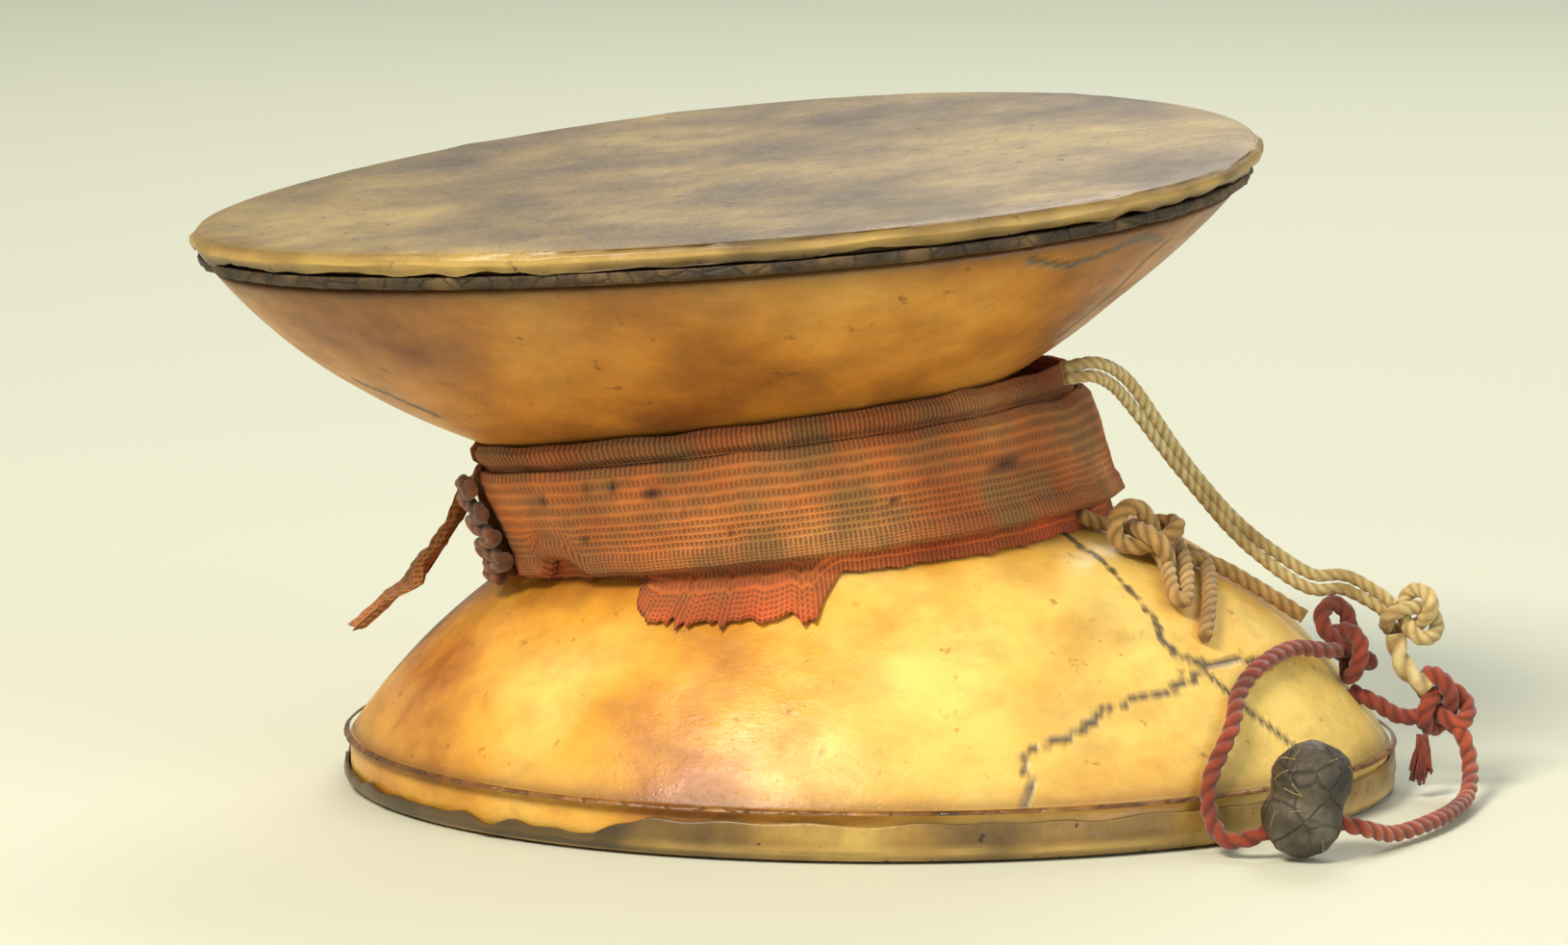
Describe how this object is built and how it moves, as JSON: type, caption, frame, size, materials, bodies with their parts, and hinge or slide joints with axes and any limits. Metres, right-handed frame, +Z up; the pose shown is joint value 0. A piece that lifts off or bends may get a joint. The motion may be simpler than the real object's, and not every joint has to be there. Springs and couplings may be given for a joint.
{
  "type": "tibetan hand drum",
  "caption": "Hourglass hand drum of two bone bowls with hide heads, a red cloth belt round the waist and a wax striker on a knotted cord.",
  "frame": {"origin": "on the table under the middle of the drum's outer box, without the line and the striker", "axes": "+X along the longest side, towards the side where the striker's line leaves the belt; +Y away from the viewer; +Z up from the lower head to the upper head"},
  "size_m": [0.179, 0.1352, 0.0921],
  "materials": {
    "bone": "polished, stained warm yellow",
    "hide": "old rawhide with a brown patina",
    "pitch": "cracked, matt",
    "wood": "bare",
    "cloth": "faded plain weave cotton",
    "cord": "plied cotton cord",
    "wool": "braided wool",
    "wax": "cracked, matt"
  },
  "bodies": {
    "drum": {"lower_bowl": "bone", "upper_bowl": "bone", "lower_skin": "hide", "upper_skin": "hide", "lower_pitch_seal": "pitch", "upper_pitch_seal": "pitch", "waist_peg": "wood", "waist_resin": "pitch", "waist_cord_winding": "cord", "belt_inner": "cloth", "belt_outer": "cloth", "belt_upper_fold": "cloth", "belt_lacing": "wool", "belt_tail": "cloth"},
    "line": {"upper_cord": "cord", "lower_cord": "cord", "loop_knot": "cord", "cream_knot": "cord", "cream_drop_cord": "cord", "red_knot_upper": "wool", "red_knot_lower": "wool", "red_link": "wool", "red_tuft": "wool"},
    "striker": {"striker_loop_left": "wool", "striker_loop_right": "wool", "striker_ball": "wax"}
  },
  "joints": [
    {"name": "line_swing", "type": "hinge", "parent": "drum", "child": "line", "pos_m": [0.0425, -0.0205, 0.05], "axis": [0.2588, -0.9659, 0], "range_deg": [0, 45], "deforming": ["upper_cord", "lower_cord", "loop_knot"]},
    {"name": "striker_swing", "type": "hinge", "parent": "line", "child": "striker", "pos_m": [0.084, -0.0128, 0.0155], "axis": [-0.8944, 0, 0.4472], "range_deg": [0, 95], "deforming": ["striker_loop_left", "striker_loop_right"]}
  ]
}
